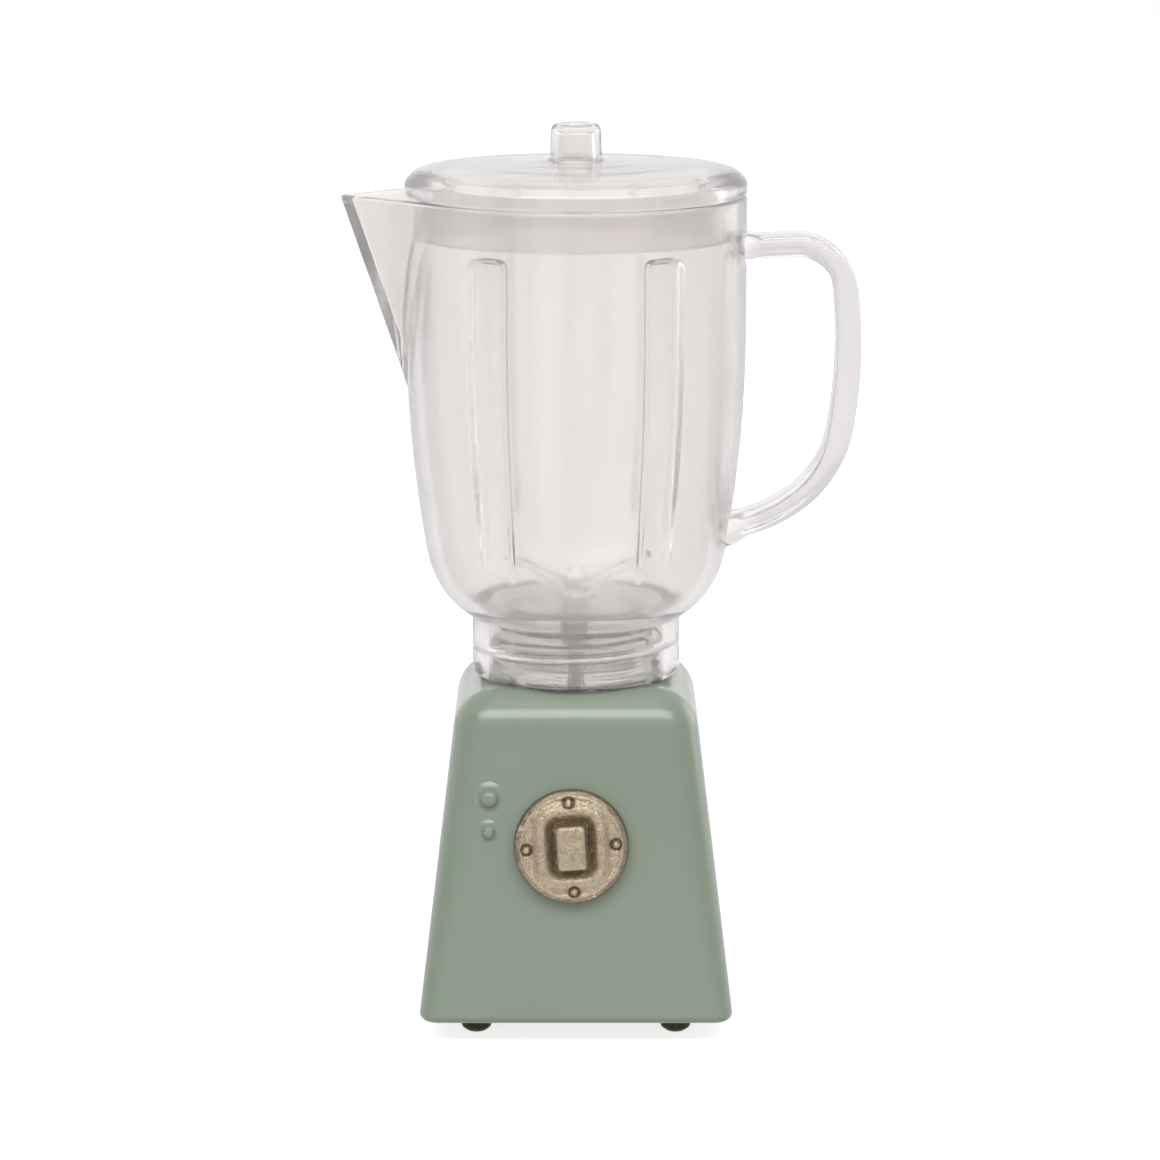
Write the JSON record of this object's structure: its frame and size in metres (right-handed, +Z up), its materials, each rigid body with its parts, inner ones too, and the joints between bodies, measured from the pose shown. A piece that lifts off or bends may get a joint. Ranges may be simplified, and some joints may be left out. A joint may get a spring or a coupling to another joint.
{
  "type": "toy blender",
  "caption": "Doll's house blender: clear screw-on jug with spout, strap handle and lift-off lid on a tapered square base with a turning dial and dome feet.",
  "frame": {"origin": "on the surface the toy stands on, under the jug's axis", "axes": "+Z up along the jug's axis; the dial faces -Y; the spout points to -X and the handle to +X"},
  "size_m": [0.0516, 0.0338, 0.09],
  "materials": {
    "clear_plastic": "clear, glossy moulded styrene",
    "mint_enamel": "glossy mint green",
    "base_plate_mint": "satin mint green",
    "cast_bronze": "matt, fine cast grain",
    "dark_bronze": "dark, half gloss",
    "screw_steel": "zinc plated"
  },
  "bodies": {
    "base": {"housing": "mint_enamel", "base_plate": "base_plate_mint", "foot_front_left": "dark_bronze", "foot_front_right": "dark_bronze", "foot_rear_left": "dark_bronze", "foot_rear_right": "dark_bronze", "plate_screws": "screw_steel", "neck_boss": "clear_plastic", "boss_screws": "screw_steel"},
    "dial": {"dial": "cast_bronze", "dial_washer": "screw_steel", "dial_screw": "screw_steel"},
    "blade": {"blade": "clear_plastic"},
    "jug": {"jug": "clear_plastic"},
    "lid": {"lid": "clear_plastic"}
  },
  "joints": [
    {"name": "jug_lift", "type": "slide", "parent": "base", "child": "blade", "axis": [0, 0, 1], "range_m": [0, 0.00511]},
    {"name": "jug_turn", "type": "hinge", "parent": "blade", "child": "jug", "pos_m": [0, 0, 0.0348], "axis": [0, 0, 1], "range_deg": [0, 1080]},
    {"name": "lid_lift", "type": "slide", "parent": "jug", "child": "lid", "axis": [0, 0, 1], "range_m": [0, 0.015]},
    {"name": "dial_turn", "type": "hinge", "parent": "base", "child": "dial", "pos_m": [-0.00045, -0.01355, 0.0199], "axis": [0, -0.9934, 0.1143], "continuous": true}
  ],
  "couplings": [
    {"joint": "jug_lift", "follows": "jug_turn", "m_per_rad": 0.00027056}
  ]
}
